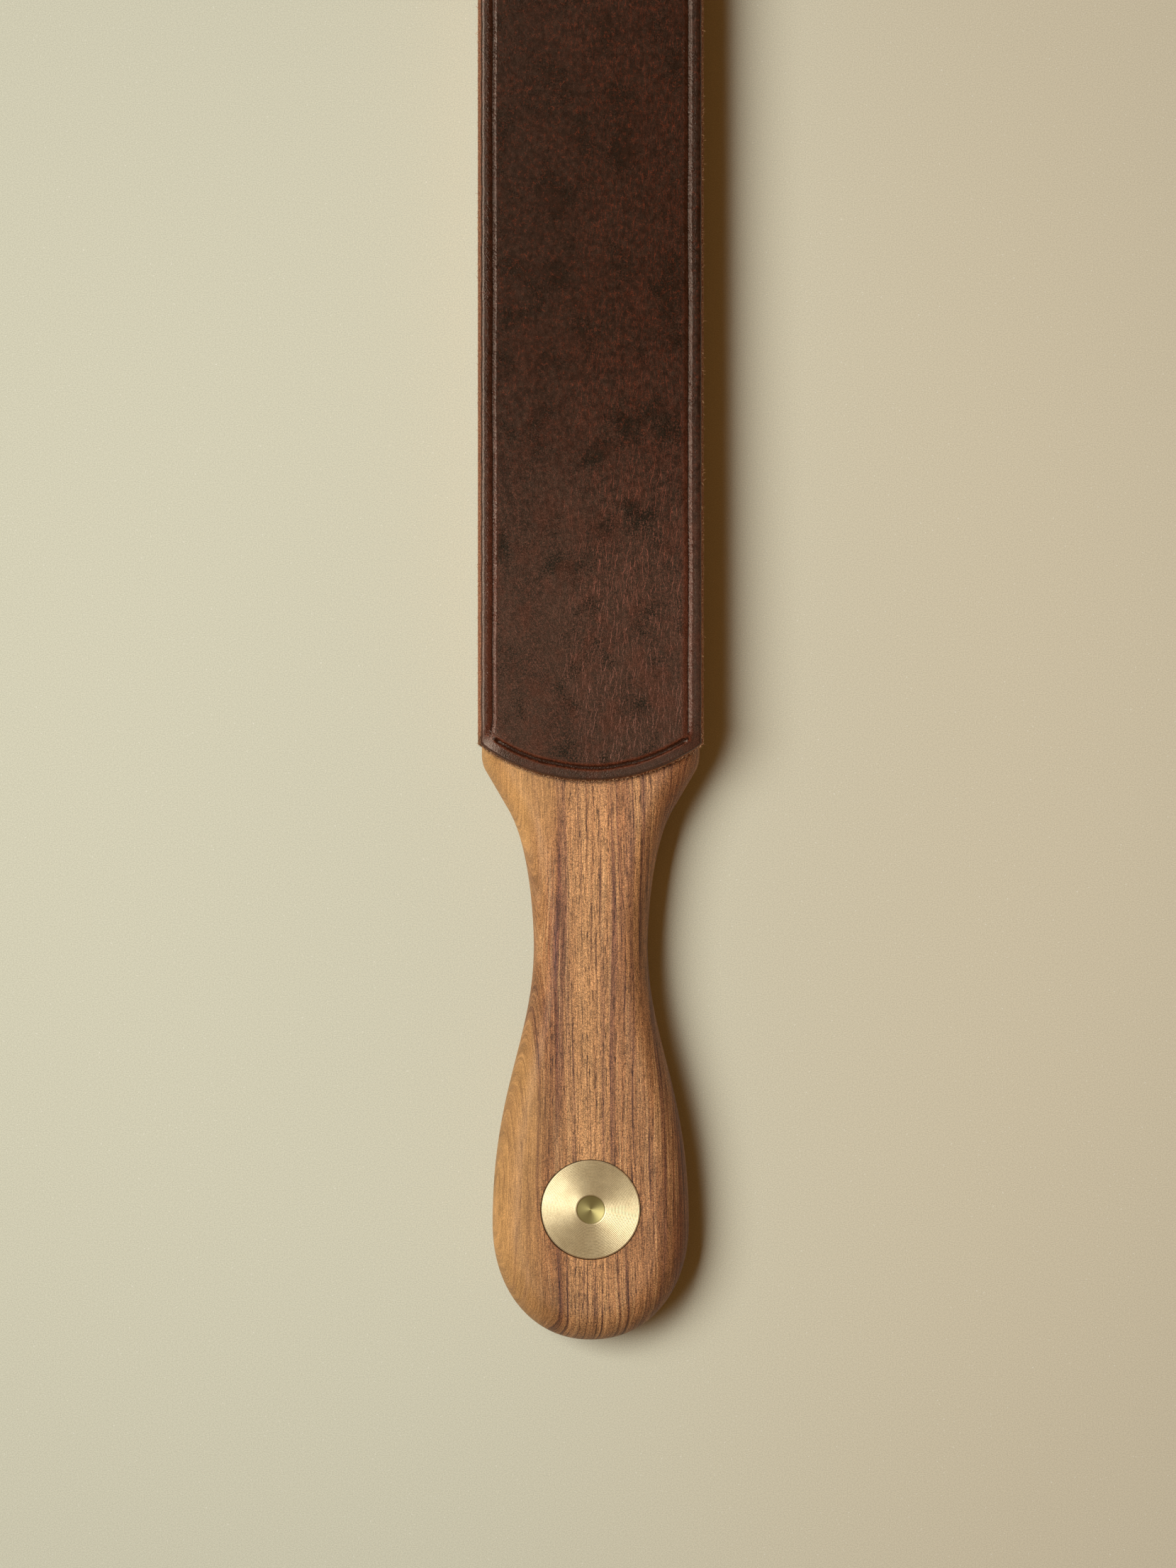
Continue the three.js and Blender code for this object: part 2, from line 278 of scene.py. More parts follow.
def walnut_outline():
    """The outline in plan, anticlockwise from the middle of the butt."""
    turn = np.linspace(0, math.pi / 2, BUTT_POINTS)[1:-1]
    power = 2 / BULB_EXPONENT
    butt = np.column_stack([BULB_HALF * np.sin(turn) ** power, BULB_AT * (1 - np.cos(turn) ** power)])
    waist = bezier(WAIST, WAIST_POINTS)[:-1]
    shoulder = [bezier(SHOULDER, SHOULDER_POINTS), bezier(SHOULDER_CORNER, SHOULDER_CORNER_POINTS)]
    right = np.vstack([butt, waist, *shoulder]) * MM
    right[:, 1] += BUTT_Y
    turn = np.linspace(0, math.pi / 2, FREE_CORNER_POINTS)
    corner = np.column_stack([np.cos(turn), np.sin(turn)]) * FREE_CORNER_RADIUS
    corner += [wood_high.x - FREE_CORNER_RADIUS, FREE_END_Y - FREE_CORNER_RADIUS]
    right = np.vstack([right, corner])
    return np.vstack([[(0, BUTT_Y)], right, right[::-1] * [-1, 1]])


def rounding_at(y):
    """How far in the rounding reaches at this place along the strop."""
    to_neck = smoothstep(y, BULB_Y, NECK_Y)
    to_paddle = smoothstep(y, SHOULDER_START_Y, SHOULDER_END_Y)
    handle = BULB_ROUNDING + (NECK_ROUNDING - BULB_ROUNDING) * to_neck
    return handle + (PADDLE_ROUNDING - handle) * to_paddle


def walnut_rings():
    """The closed loops that the wood's skin runs over, from its lower flat face to its upper one."""
    outline = walnut_outline()
    half_thickness = (wood_high.z - wood_low.z) / 2
    reach = rounding_at(outline[:, 1])
    rings = [at_height(inset(outline, reach + FLAT_RIM), wood_low.z)]
    for angle in np.linspace(-math.pi / 2, math.pi / 2, ROUNDING_BANDS + 1):
        loop = inset(outline, reach * (1 - math.cos(angle)))
        rings.append(at_height(loop, wood_low.z + half_thickness * (1 + math.sin(angle))))
    rings.append(at_height(inset(outline, reach + FLAT_RIM), wood_high.z))
    return rings


def pocket_rings():
    """The loops of the disc's pocket, from its eased mouth to its floor."""
    middle = (disc_low + disc_high) / 2
    radius = DISC_RADIUS + POCKET_CLEARANCE
    mouth, wall = (unit_circle(POCKET_SIDES) * r + middle.xy for r in (radius + POCKET_EASE, radius))
    return [
        at_height(mouth, wood_high.z),
        at_height(wall, wood_high.z - POCKET_EASE),
        at_height(wall, wood_high.z - POCKET_DEPTH),
    ]


def bridge(mesh, rings):
    """Joins each ring of corners to the following one with a closed band of faces."""
    for first, second in zip(rings, rings[1:]):
        for i in range(len(first)):
            following = (i + 1) % len(first)
            mesh.faces.new([first[i], first[following], second[following], second[i]])


def ring_edges(mesh, ring):
    return [mesh.edges.get([a, b]) or mesh.edges.new([a, b]) for a, b in zip(ring, ring[1:] + ring[:1])]


def fill_flat(mesh, edges, z_sign):
    """Fills the flat area that these edges go round with triangles that face up or down."""
    made = bmesh.ops.triangle_fill(mesh, use_beauty=True, edges=edges)["geom"]
    for face in (item for item in made if isinstance(item, bmesh.types.BMFace)):
        face.normal_update()
        if face.normal.z * z_sign < 0:
            face.normal_flip()


def make_walnut():
    mesh = bmesh.new()
    skin = [[mesh.verts.new(point) for point in ring] for ring in walnut_rings()]
    pocket = [[mesh.verts.new(point) for point in ring] for ring in pocket_rings()]
    bridge(mesh, skin)
    bridge(mesh, pocket)
    mesh.faces.new(pocket[-1])
    fill_flat(mesh, ring_edges(mesh, skin[-1]) + ring_edges(mesh, pocket[0]), 1)
    fill_flat(mesh, ring_edges(mesh, skin[0]), -1)
    data = bpy.data.meshes.new("walnut_handle")
    mesh.to_mesh(data)
    mesh.free()
    return link_mesh(data)


# ---- The leathers ----


def stations(length, fine_zone, fine_step, middle_count):
    """Distances along a length: close together near both ends, wide apart between them."""
    near = np.linspace(0, fine_zone, round(fine_zone / fine_step), endpoint=False)
    middle = np.linspace(fine_zone, length - fine_zone, middle_count)
    return np.concatenate([near, middle, length - near[::-1]])


def leather_grid(fine_zone, fine_step, middle_columns, middle_rows):
    """Points [x, y] in rows and columns that follow the leather's outline."""
    columns = stations(2 * LEATHER_HALF_WIDTH, fine_zone, fine_step, middle_columns)
    xs = columns - LEATHER_HALF_WIDTH
    starts = ARC_CENTRE_Y - np.sqrt(ARC_RADIUS**2 - xs**2)
    past_corner = np.maximum(np.abs(xs) - (LEATHER_HALF_WIDTH - FREE_CORNER_RADIUS), 0)
    corner_drop = FREE_CORNER_RADIUS - np.sqrt(np.maximum(FREE_CORNER_RADIUS**2 - past_corner**2, 0))
    ends = FREE_END_Y - corner_drop
    lines = [
        start + stations(end - start, fine_zone, fine_step, middle_rows)
        for start, end in zip(starts, ends)
    ]
    ys = np.array(lines).T
    return np.stack([np.broadcast_to(xs, ys.shape), ys], axis=-1)


def distances_in(points):
    """How far each point lies inside the leather's sides, its arc, and its whole outline."""
    x, y = np.abs(points[..., 0]), points[..., 1]
    side = LEATHER_HALF_WIDTH - x
    arc = ARC_RADIUS - np.hypot(x, np.minimum(y - ARC_CENTRE_Y, 0))
    end = FREE_END_Y - y
    inner_x, inner_y = LEATHER_HALF_WIDTH - FREE_CORNER_RADIUS, FREE_END_Y - FREE_CORNER_RADIUS
    corner = FREE_CORNER_RADIUS - np.hypot(x - inner_x, y - inner_y)
    nearest = np.minimum(np.minimum(side, arc), end)
    nearest = np.where((x > inner_x) & (y > inner_y), corner, nearest)
    return side, arc, np.maximum(nearest, 0)


def wander(along, seed, size, wavelength):
    """A smooth, unhurried wobble, as a hand leaves it."""
    phases = np.random.default_rng(seed).uniform(0, 2 * math.pi, 4)
    waves = [
        np.sin(along * 2 * math.pi / (wavelength * scale) + phase) * scale
        for scale, phase in zip((1.0, 0.57, 0.31, 0.17), phases)
    ]
    return size * sum(waves) / 1.4


def edge_share(points):
    """0 at the outline, 1 where the raw cut ends and the grain begins, 2 where the face is flat."""
    x, y = points[..., 0], points[..., 1]
    side, arc, nearest = distances_in(points)
    at_arc = smoothstep(side - arc, -1 * MM, 1 * MM)
    side_raw = np.where(x < 0, LEFT_RAW, RIGHT_RAW) * (1 + wander(y, 21, 0.08, 9 * MM))
    arc_raw = ARC_RAW * (1 + wander(x, 22, 0.15, 7 * MM))
    raw = side_raw + (arc_raw - side_raw) * at_arc
    side_roll = np.where(x < 0, LEFT_ROLL, RIGHT_ROLL)
    roll = side_roll + (ARC_ROLL - side_roll) * at_arc
    return np.where(nearest < raw, nearest / raw, 1 + np.minimum((nearest - raw) / roll, 1))


def side_crease(x, y, sign, seed, outer, inner, deepest, curve):
    """A crease along one side: sign is -1 for the left and 1 for the right."""
    first_y = LEATHER_CORNER_Y + CREASE_CORNER_GAP
    last_y = END_CREASE_Y - CREASE_CORNER_GAP
    hook = CREASE_HOOK * smoothstep(-y, -first_y - CREASE_HOOK_LENGTH, -first_y) * (sign < 0)
    middle = sign * (SIDE_CREASE_X + wander(y, seed, 0.07 * MM, 55 * MM) + hook)
    off = np.abs(x - middle)
    half_width = np.where(np.abs(x) > np.abs(middle), outer, inner)
    groove = (1 - np.minimum(off / half_width, 1)) ** curve
    return off, np.minimum(y - first_y, last_y - y), half_width, deepest * groove


def arc_crease(x, y):
    radius = ARC_RADIUS - ARC_CREASE_IN
    half_angle = math.asin((SIDE_CREASE_X - ARC_CREASE_STOP) / radius)
    angle = np.arctan2(x, ARC_CENTRE_Y - y)
    off = np.abs(np.hypot(x, y - ARC_CENTRE_Y) - radius - wander(x, 3, 0.1 * MM, 22 * MM))
    near_arc = y < LEATHER_CORNER_Y + 2 * CREASE_CORNER_GAP
    from_end = np.where(near_arc, (half_angle - np.abs(angle)) * radius, -1)
    groove = smoothstep(off, ARC_CREASE_HALF, 0.3 * ARC_CREASE_HALF)
    return off, from_end, ARC_CREASE_HALF, ARC_CREASE_DEPTH * groove


def end_crease(x, y):
    off = np.abs(y - END_CREASE_Y)
    from_end = SIDE_CREASE_X - CREASE_CORNER_GAP - np.abs(x)
    groove = (1 - np.minimum(off / END_CREASE_HALF, 1)) ** CREASE_CURVE
    return off, from_end, END_CREASE_HALF, END_CREASE_DEPTH * groove


def creases(points):
    """For each point: how deep the tooled crease is there, and how many half widths off its middle is.

    Each crease gives four values: how far off its middle is, how far the point lies before the crease's
    end, its half width on that side, and its full depth there.
    """
    x, y = points[..., 0], points[..., 1]
    left = (LEFT_CREASE_OUTER, LEFT_CREASE_INNER, LEFT_CREASE_DEPTH, CREASE_CURVE)
    right = (RIGHT_CREASE_OUTER, RIGHT_CREASE_INNER, RIGHT_CREASE_DEPTH, RIGHT_CREASE_CURVE)
    depth = np.zeros_like(x)
    nearest = np.full_like(x, FAR_FROM_CREASE)
    pressure = 1 + wander(x + y, 11, 0.08, 17 * MM)
    for off, from_end, half_width, full_depth in (
        side_crease(x, y, -1, 1, *left),
        side_crease(x, y, 1, 2, *right),
        arc_crease(x, y),
        end_crease(x, y),
    ):
        depth += full_depth * pressure * smoothstep(from_end, 0, CREASE_FADE)
        nearest = np.minimum(nearest, np.hypot(off, np.maximum(-from_end, 0)) / half_width)
    return depth, nearest


def corner_dips(points):
    """The leather droops a little at the two corners over the shoulders."""
    from_corner = np.hypot(np.abs(points[..., 0]) - LEATHER_HALF_WIDTH, points[..., 1] - LEATHER_CORNER_Y)
    return CORNER_DIP * (1 - np.minimum(from_corner / CORNER_DIP_RADIUS, 1)) ** 2


def make_leather(name, grid, drops, face_z, glued_z, glued_inset, marks):
    """A leather facing whose good face lies drops under face_z. marks are values for its material."""
    sign = 1 if face_z > glued_z else -1
    rows, columns = drops.shape
    face = np.dstack([grid, face_z - sign * drops]).reshape(-1, 3)
    numbers = np.arange(rows * columns).reshape(rows, columns)
    quads = [numbers[:-1, :-1], numbers[:-1, 1:], numbers[1:, 1:], numbers[1:, :-1]]
    faces = np.stack(quads, axis=-1).reshape(-1, 4).tolist()
    rim = np.concatenate([numbers[0, :-1], numbers[:-1, -1], numbers[-1, :0:-1], numbers[:0:-1, 0]])
    glued = at_height(inset(face[rim][:, :2], np.full(len(rim), glued_inset)), glued_z)
    start, count = len(face), len(rim)
    for i in range(count):
        following = (i + 1) % count
        faces.append([rim[following], rim[i], start + i, start + following])
    faces.append([start + i for i in reversed(range(count))])
    if sign < 0:
        faces = [face[::-1] for face in faces]
    piece = make_object(name, np.vstack([face, glued]), faces, sharp_degrees=60)
    for mark, (values, glued_value) in marks.items():
        point_values(piece, mark, np.concatenate([values.ravel(), np.full(count, glued_value)]))
    return piece


def make_smooth_leather():
    grid = leather_grid(fine_zone=5 * MM, fine_step=0.125 * MM, middle_columns=36, middle_rows=170)
    share = edge_share(grid)
    groove, from_crease = creases(grid)
    drops = np.interp(share, SMOOTH_SHARES, SMOOTH_DROPS)
    roll = np.minimum(drops, SMOOTH_DROPS[SMOOTH_SHARES.index(1)])
    on_left = smoothstep(-grid[..., 0], 0, LEATHER_HALF_WIDTH - 5 * MM)
    drops = (drops - (1 - LEFT_ROLL_SHARE) * roll * on_left) * MM + groove + corner_dips(grid)
    way_in = distances_in(grid)[2] / MM
    marks = {"edge_share": (share, 0), "from_crease": (from_crease, FAR_FROM_CREASE), "way_in": (way_in, 0)}
    return make_leather("grain_leather", grid, drops, smooth_high.z, smooth_low.z, SMOOTH_GLUED_INSET, marks)


def make_suede_leather():
    grid = leather_grid(fine_zone=1 * MM, fine_step=0.12 * MM, middle_columns=24, middle_rows=100)
    ins, downs = smooth_through(np.array(SUEDE_EDGE) * MM, steps=6).T
    drops = np.interp(distances_in(grid)[2], ins, downs)
    return make_leather("napped_leather", grid, drops, suede_low.z, suede_high.z, SUEDE_GLUED_INSET, {})


# ---- The fibres on the cut edges ----


def leather_rim(spacing):
    """Points along the sides and the arc, each with its way out: rows of x, y, out x, out y, raw width."""
    ys = np.arange(LEATHER_CORNER_Y, FREE_END_Y - FREE_CORNER_RADIUS, spacing)
    ones = np.ones_like(ys)
    left = np.column_stack([-LEATHER_HALF_WIDTH * ones, ys, -ones, 0 * ones, LEFT_RAW * ones])
    right = np.column_stack([LEATHER_HALF_WIDTH * ones, ys, ones, 0 * ones, RIGHT_RAW * ones])
    xs = np.arange(-LEATHER_HALF_WIDTH, LEATHER_HALF_WIDTH, spacing)
    out = np.column_stack([xs, -np.sqrt(ARC_RADIUS**2 - xs**2)]) / ARC_RADIUS
    arc = np.column_stack([out * ARC_RADIUS + [0, ARC_CENTRE_Y], out, ARC_RAW * np.ones_like(xs)])
    return np.vstack([left, right, arc])


def fibre_faces(count):
    """The faces of this many fibres: each is a closed tube of rings that runs out to a point."""
    sides, rings = len(FIBRE_ANGLES), len(FIBRE_RINGS)
    per_fibre = rings * sides + 1
    faces = []
    for first in range(0, count * per_fibre, per_fibre):
        for low in range(first, first + (rings - 1) * sides, sides):
            faces += bands_between(low, low + sides, sides)
        last, tip = first + (rings - 1) * sides, first + rings * sides
        for i in range(sides):
            faces.append([last + i, last + (i + 1) % sides, tip])
        faces.append([first + i for i in reversed(range(sides))])
    return faces


def make_fibres():
    """Loose fibres that stand out of the smooth leather's cut edge, each a thin bent cone."""
    rim = leather_rim(FIBRE_SPACING * MM)
    rim = rim[random.random(len(rim)) < FIBRE_CHANCE]
    count = len(rim)
    on_arc = rim[:, 3:4] < 0
    out = np.column_stack([rim[:, 2:4], np.zeros(count)])
    along = np.column_stack([-rim[:, 3], rim[:, 2], np.zeros(count)])
    up = np.array([0, 0, 1])

    share = random.uniform(*FIBRE_ROOTS, (count, 1))
    foot = np.column_stack([rim[:, :2], np.zeros(count)]) - out * rim[:, 4:5] * share
    foot[:, 2] = smooth_high.z - np.interp(share[:, 0], SMOOTH_SHARES, SMOOTH_DROPS) * MM
    way = out * random.uniform(*FIBRE_OUT, (count, 1)) + along * random.uniform(*FIBRE_ALONG, (count, 1))
    way = way + up * random.uniform(*FIBRE_UP, (count, 1))
    way /= np.linalg.norm(way, axis=1, keepdims=True)
    length = random.uniform(*FIBRE_LENGTHS, (count, 1)) * np.where(on_arc, 1, SIDE_FIBRE_SHARE) * MM
    long_ones = random.random((count, 1)) < LONG_FIBRE_CHANCE
    length = length + long_ones * random.uniform(*LONG_FIBRE_EXTRA, (count, 1)) * MM
    bend = random.normal(0, FIBRE_BEND, (count, 3))

    across = np.cross(way, up)
    across /= np.linalg.norm(across, axis=1, keepdims=True)
    over = np.cross(way, across)
    corners = []
    for place, width in FIBRE_RINGS:
        middle = foot + way * length * place + bend * length * max(place, 0) ** 2 * FIBRE_BEND_REACH
        for angle in FIBRE_ANGLES:
            corners.append(middle + (across * math.cos(angle) + over * math.sin(angle)) * width * MM)
    corners.append(foot + way * length + bend * length * FIBRE_BEND_REACH)
    corners = np.stack(corners, axis=1).reshape(-1, 3)
    return make_object("cut_edge_fibres", corners, fibre_faces(count), sharp_degrees=180)


# ---- The brass disc ----


def disc_profile():
    """The disc's section, from the middle of its underside round to the middle of its recess: (out, up)."""
    height = disc_high.z - disc_low.z
    face_start, face_end = DISC_RADIUS - DISC_CHAMFER, RECESS_RADIUS + RECESS_LIP
    profile = [
        (0, 0),
        (face_start, 0),
        (DISC_RADIUS, DISC_CHAMFER),
        (DISC_RADIUS, height - DISC_CROWN - DISC_CHAMFER),
        (face_start, height - DISC_CROWN - RING_DEPTH),
    ]
    count = round((face_start - face_end) / RING_PITCH)
    for share in np.linspace(0, 1, count * RING_STEPS + 1)[1:]:
        cut = RING_DEPTH * 0.5 * (1 - math.cos(2 * math.pi * share * count))
        out = face_start + (face_end - face_start) * share
        crown = DISC_CROWN * (out / face_start) ** 2
        profile.append((out, height - crown - RING_DEPTH + cut))
    floor = height - RECESS_DEPTH
    profile.append((RECESS_RADIUS, height - RECESS_LIP_DROP))
    profile.append((RECESS_RADIUS - RECESS_WALL_IN, floor + RECESS_FOOT_HEIGHT))
    profile.append((RECESS_RADIUS - RECESS_FOOT_IN, floor))
    profile.append((0, floor))
    return profile


def make_disc():
    """A faced disc: every pass of the lathe tool leaves a fine ring, and the recess is left plain."""
    profile = disc_profile()
    around = unit_circle(DISC_SIDES)
    rings = [at_height(around * out, up) for out, up in profile[1:-1]]
    # The first two corners are the middle of the underside and the middle of the recess.
    corners = np.vstack([[(0, 0, 0), (0, 0, profile[-1][1])], *rings])
    first, last = 2, 2 + (len(rings) - 1) * DISC_SIDES
    faces = []
    for ring in range(first, last, DISC_SIDES):
        faces += bands_between(ring, ring + DISC_SIDES, DISC_SIDES)
    for i in range(DISC_SIDES):
        following = (i + 1) % DISC_SIDES
        faces.append([0, first + following, first + i])
        faces.append([1, last + i, last + following])
    corners += [DISC_X, DISC_Y, disc_low.z]
    return make_object("turned_brass_disc", corners, faces, sharp_degrees=30)


# ---- Materials ----

# Their patterns are in millimetres, and the frequency of a noise is in features per millimetre.


def srgb(red, green, blue):
    """A colour as seen on a screen, 0 to 255, in Blender's linear numbers."""
    shares = [c / 255 for c in (red, green, blue)]
    return (*[c / 12.92 if c <= 0.04045 else ((c + 0.055) / 1.055) ** 2.4 for c in shares], 1)


class Shader:
    """A node material in the making. Each method adds a node and gives back its output."""

    def __init__(self, name):
        self.material = bpy.data.materials.new(name)
        self.material.use_nodes = True
        self.tree = self.material.node_tree
        self.surface = self.tree.nodes["Principled BSDF"].inputs

    def feed(self, socket, value):
        if isinstance(value, bpy.types.NodeSocket):
            self.tree.links.new(value, socket)
        else:
            socket.default_value = value

    def add(self, kind, inputs, output=0, **settings):
        node = self.tree.nodes.new("ShaderNode" + kind)
        for name, value in settings.items():
            setattr(node, name, value)
        for name, value in inputs.items():
            self.feed(node.inputs[name], value)
        return node.outputs[output]

    def set(self, **inputs):
        for name, value in inputs.items():
            self.feed(self.surface[name.replace("_", " ")], value)

    def place(self):
        """Where the point is on the object, in millimetres."""
        return self.vector("MULTIPLY", self.add("TexCoord", {}, 3), (1 / MM,) * 3)

    def value(self, name):
        return self.add("Attribute", {}, 2, attribute_name=name)

    def math(self, operation, a, b=0.0, clamp=False):
        return self.add("Math", {0: a, 1: b}, operation=operation, use_clamp=clamp)

    def plus(self, a, b, clamp=False):
        return self.math("ADD", a, b, clamp)

    def minus(self, a, b):
        return self.math("SUBTRACT", a, b)

    def times(self, a, b):
        return self.math("MULTIPLY", a, b)

    def away(self, value, middle):
        """How far the value is from this middle, on either side."""
        return self.math("ABSOLUTE", self.minus(value, middle))

    def vector(self, operation, a, b=(0, 0, 0), output=0):
        return self.add("VectorMath", {0: a, 1: b}, output, operation=operation)

    def length(self, vector):
        return self.vector("LENGTH", vector, output=1)

    def split(self, vector):
        node = self.tree.nodes.new("ShaderNodeSeparateXYZ")
        self.feed(node.inputs[0], vector)
        return list(node.outputs)

    def join(self, x, y, z=0.0):
        return self.add("CombineXYZ", {0: x, 1: y, 2: z})

    def noise(self, vector, detail=2.0, roughness=0.5, output=0):
        inputs = {"Vector": vector, "Scale": 1, "Detail": detail, "Roughness": roughness, "Distortion": 0}
        return self.add("TexNoise", inputs, output)

    def stretched(self, vector, x, y, z, **settings):
        """Noise with this many features per millimetre along each axis."""
        return self.noise(self.vector("MULTIPLY", vector, (x, y, z)), **settings)

    def drift(self, vector, x, y, z, **settings):
        """Three noises of -0.5 to 0.5 as a vector, to push points about with."""
        colors = self.stretched(vector, x, y, z, output=1, **settings)
        return self.vector("SUBTRACT", colors, (0.5, 0.5, 0.5))

    def step(self, value, start, end, low=0.0, high=1.0):
        """Goes smoothly from low to high as the value goes from start to end."""
        inputs = {0: value, 1: start, 2: end, 3: low, 4: high}
        return self.add("MapRange", inputs, interpolation_type="SMOOTHSTEP")

    def mix(self, share, a, b):
        return self.add("Mix", {0: share, 6: a, 7: b}, 2, data_type="RGBA", blend_type="MIX")

    def brighten(self, color, factor):
        return self.add("VectorMath", {0: color, 3: factor}, operation="SCALE")

    def ramp(self, value, *stops):
        node = self.tree.nodes.new("ShaderNodeValToRGB")
        self.feed(node.inputs[0], value)
        elements = node.color_ramp.elements
        elements.remove(elements[-1])
        elements[0].position, elements[0].color = stops[0]
        for position, color in stops[1:]:
            elements.new(position).color = color
        return node.outputs[0]

    def bump(self, height, distance, strength):
        return self.add("Bump", {"Height": height, "Distance": distance, "Strength": strength})


# ---- Walnut ----

# The heart of the log lies far to the right and a little below, so the rings stand nearly upright.
LOG_HEART = (88, 0, -14)
# How far out the grain runs to the right for each millimetre towards the butt.
GRAIN_RUNOUT = 0.02
# The share of sapwood where there is most of it.
SAP_MOST = 0.85


def walnut_grain(s, place, along, wobble):
    """The point's distance from the heart of the log, and its place along it."""
    wandering = s.vector("ADD", place, s.vector("MULTIPLY", wobble, (7, 0, 7)))
    across = s.vector("MULTIPLY", s.vector("SUBTRACT", wandering, LOG_HEART), (1, 0, 1))
    return s.join(s.plus(s.length(across), s.times(along, -GRAIN_RUNOUT)), along)


def walnut_tone(s, grain, x, along, wobble_x):
    """The broad tones of the wood with painted shade down its right side, and the share of sapwood along its
    left edge.
    """
    color = s.ramp(
        s.stretched(grain, 0.16, 0.003, 1, detail=2),
        (0.36, srgb(152, 96, 62)),
        (0.47, srgb(184, 128, 84)),
        (0.62, srgb(207, 151, 100)),
    )
    # The sapwood reaches less far in at the neck.
    at_neck = s.times(s.step(along, -125, -95), s.step(along, -48, -66, 0, 3.5))
    sap_edge = s.plus(s.plus(x, at_neck), s.times(wobble_x, 18))
    sap = s.step(sap_edge, -5, -15, 0, SAP_MOST)
    color = s.mix(sap, color, srgb(202, 150, 92))
    # Painted shade: the right side, away from the light, is darkened.
    painted_right_shade = s.step(s.plus(x, s.times(wobble_x, 14)), 7, 18, 0, 0.62)
    return s.mix(painted_right_shade, color, srgb(124, 72, 46)), sap


def walnut_lines(s, place, color, grain, sap):
    """Dark bands and lines along the grain, pale flecks, fine hairs and pores, calmer in the sapwood."""
    rich = s.step(sap, 0, 0.8, 1, 0.35)
    band = s.stretched(grain, 0.55, 0.007, 1, detail=4, roughness=0.62)
    color = s.mix(s.times(s.step(band, 0.49, 0.36, 0, 0.62), rich), color, srgb(110, 68, 58))
    line = s.stretched(grain, 1.6, 0.02, 1, detail=4, roughness=0.7)
    color = s.mix(s.times(s.step(line, 0.46, 0.35, 0, 0.85), rich), color, srgb(88, 54, 46))
    fleck = s.times(s.step(line, 0.5, 0.66, 0, 0.6), s.step(sap, 0, SAP_MOST, 1, 0.4))
    color = s.mix(fleck, color, srgb(220, 168, 116))
    hair = s.stretched(grain, 5, 0.14, 1, detail=4, roughness=0.75)
    hair = s.times(s.step(hair, 0.28, 0.68, -0.415, 0.415), s.step(sap, 0, SAP_MOST, 1, 0.58))
    color = s.brighten(color, s.plus(hair, 0.915))
    bloom = s.stretched(place, 0.16, 0.06, 0.16, detail=3, roughness=0.6)
    color = s.brighten(color, s.step(bloom, 0.3, 0.7, 0.9, 1.1))
    crowded = s.step(line, 0.62, 0.42, 0.35, 1)
    pore = s.step(s.stretched(place, 6, 0.4, 6, detail=1), 0.41, 0.35)
    pore = s.times(pore, s.times(crowded, rich))
    return s.mix(s.times(pore, 0.85), color, srgb(58, 34, 28)), pore


def walnut_arc_shadow(s, color, x, along, z, grit):
    """A thin painted shadow on the upper face, where the wood meets the arc of the leather and lies under its
    edge.
    """
    past_arc = s.length(s.join(x, s.minus(along, ARC_CENTRE_Y / MM)))
    past_arc = s.plus(s.minus(past_arc, ARC_RADIUS / MM), s.times(s.minus(grit, 0.5), 0.9))
    arc_shadow = s.step(s.math("ABSOLUTE", past_arc), 0.55, 0.15, 0, 0.5)
    arc_shadow = s.times(arc_shadow, s.step(z, wood_high.z / MM - 4, wood_high.z / MM - 1))
    return s.mix(arc_shadow, color, srgb(58, 34, 22))


def walnut_material():
    s = Shader("walnut")
    place = s.place()
    x, along, z = s.split(place)
    wobble = s.drift(place, 0.06, 0.01, 0.06)
    wobble_x = s.split(wobble)[0]
    grain = walnut_grain(s, place, along, wobble)
    color, sap = walnut_tone(s, grain, x, along, wobble_x)
    color, pore = walnut_lines(s, place, color, grain, sap)

    grit = s.stretched(place, 4.5, 4, 4.5, detail=3, roughness=0.85)
    speckle = s.times(s.step(grit, 0.28, 0.72, -0.85, 0.85), s.step(sap, 0, SAP_MOST, 1, 0.5))
    color = s.brighten(color, s.plus(speckle, 1.02))
    # A little lighter at the neck, and darker where the butt curves down.
    color = s.brighten(color, s.step(along, -100, -50, 0.95, 1.06))
    color = s.brighten(color, s.step(along, -150, -169, 1, 0.75))
    # Painted shadow under the edge of the leather's arc.
    color = walnut_arc_shadow(s, color, x, along, z, grit)
    s.set(Base_Color=color, Roughness=0.52, Specular_IOR_Level=0.25)
    s.set(Normal=s.bump(s.plus(s.times(pore, -1), grit), 0.06 * MM, 0.5))
    return s.material


# ---- Smooth leather ----


def wrinkle_lines(s, place, across, lean, seed):
    """Thin broken lines that run along the strop, this many per mm; lean tilts them, in mm across per mm."""
    x, y, _ = s.split(place)
    counted = s.plus(s.times(s.plus(x, s.times(y, lean)), across), seed)
    line = s.math("FLOOR", counted)
    chance = s.add("TexWhiteNoise", {"W": line}, noise_dimensions="1D")
    shift = s.times(s.minus(chance, 0.5), 0.5)
    off = s.minus(s.minus(s.math("FRACT", counted), 0.5), shift)
    thin = s.step(s.math("ABSOLUTE", off), 0.09 * across, 0.02 * across)
    broken = s.noise(s.join(s.times(line, 5.3), s.times(y, 0.26), seed), detail=4, roughness=0.7)
    return s.times(thin, s.step(broken, 0.44, 0.66))


